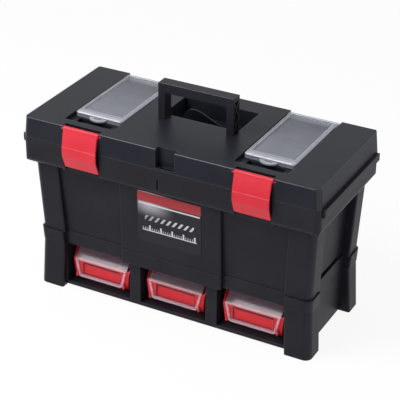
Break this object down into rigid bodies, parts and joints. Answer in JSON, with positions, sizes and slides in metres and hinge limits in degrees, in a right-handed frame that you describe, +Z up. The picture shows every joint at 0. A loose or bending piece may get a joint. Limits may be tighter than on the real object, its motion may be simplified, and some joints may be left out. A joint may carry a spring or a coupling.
{
  "type": "toolbox with tray",
  "caption": "Moulded toolbox with a hinged lid, lift-out tray, folding handle, clear-lidded organisers in the lid, snap latches and scoop bins in a base rack.",
  "frame": {"origin": "on the floor under the middle of the box", "axes": "+X along the box to its right end, -Y out of the front, +Z up"},
  "size_m": [0.525, 0.245, 0.3728],
  "materials": {
    "shell_black": "fine moulded grain",
    "lid_black": "fine moulded grain",
    "handle_black": "fine moulded grain",
    "tray_grey": "satin",
    "label_print": "printed film",
    "steel_pin": "drawn wire",
    "clear_cover": "clear, lightly frosted",
    "latch_red": "satin gloss",
    "bin_red": "satin gloss"
  },
  "bodies": {
    "root": {"base_rack": "shell_black", "tub": "shell_black", "label": "label_print", "hinge_pin_left": "steel_pin", "hinge_pin_right": "steel_pin"},
    "lid": {"lid": "lid_black", "organiser_divider_left": "lid_black", "organiser_divider_right": "lid_black"},
    "handle": {"handle": "handle_black"},
    "organiser_lid_left": {"organiser_lid_left": "clear_cover"},
    "organiser_lid_right": {"organiser_lid_right": "clear_cover"},
    "latch_left": {"latch_left": "latch_red"},
    "latch_right": {"latch_right": "latch_red"},
    "tray": {"tray": "tray_grey", "tray_handle": "tray_grey"},
    "bin_left": {"bin_left": "bin_red"},
    "bin_visor_left": {"bin_visor_left": "clear_cover"},
    "bin_centre": {"bin_centre": "bin_red"},
    "bin_visor_centre": {"bin_visor_centre": "clear_cover"},
    "bin_right": {"bin_right": "bin_red"},
    "bin_visor_right": {"bin_visor_right": "clear_cover"}
  },
  "joints": [
    {"name": "lid_hinge", "type": "hinge", "parent": "root", "child": "lid", "pos_m": [0, 0.1175, 0.276], "axis": [-1, 0, 0], "range_deg": [0, 100]},
    {"name": "handle_fold", "type": "hinge", "parent": "lid", "child": "handle", "pos_m": [0, -0.0062, 0.3008], "axis": [-1, 0, 0], "range_deg": [0, 90]},
    {"name": "tray_lift", "type": "slide", "parent": "root", "child": "tray", "axis": [0, 0, 1], "range_m": [0, 0.007]},
    {"name": "organiser_left_hinge", "type": "hinge", "parent": "lid", "child": "organiser_lid_left", "pos_m": [-0.149, 0.104, 0.3078], "axis": [-1, 0, 0], "range_deg": [0, 110]},
    {"name": "latch_left_pivot", "type": "hinge", "parent": "lid", "child": "latch_left", "pos_m": [-0.149, -0.1115, 0.3065], "axis": [-1, 0, 0], "range_deg": [-1, 110]},
    {"name": "organiser_right_hinge", "type": "hinge", "parent": "lid", "child": "organiser_lid_right", "pos_m": [0.149, 0.104, 0.3078], "axis": [-1, 0, 0], "range_deg": [0, 110]},
    {"name": "latch_right_pivot", "type": "hinge", "parent": "lid", "child": "latch_right", "pos_m": [0.149, -0.1115, 0.3065], "axis": [-1, 0, 0], "range_deg": [-1, 110]},
    {"name": "bin_left_slide", "type": "slide", "parent": "root", "child": "bin_left", "axis": [0, -1, 0], "range_m": [0, 0.11]},
    {"name": "bin_visor_left_drop", "type": "hinge", "parent": "bin_left", "child": "bin_visor_left", "pos_m": [-0.1395, -0.0815, 0.023], "axis": [1, 0, 0], "range_deg": [0, 70]},
    {"name": "bin_centre_slide", "type": "slide", "parent": "root", "child": "bin_centre", "axis": [0, -1, 0], "range_m": [0, 0.11]},
    {"name": "bin_visor_centre_drop", "type": "hinge", "parent": "bin_centre", "child": "bin_visor_centre", "pos_m": [0, -0.0815, 0.023], "axis": [1, 0, 0], "range_deg": [0, 70]},
    {"name": "bin_right_slide", "type": "slide", "parent": "root", "child": "bin_right", "axis": [0, -1, 0], "range_m": [0, 0.11]},
    {"name": "bin_visor_right_drop", "type": "hinge", "parent": "bin_right", "child": "bin_visor_right", "pos_m": [0.1395, -0.0815, 0.023], "axis": [1, 0, 0], "range_deg": [0, 70]}
  ]
}
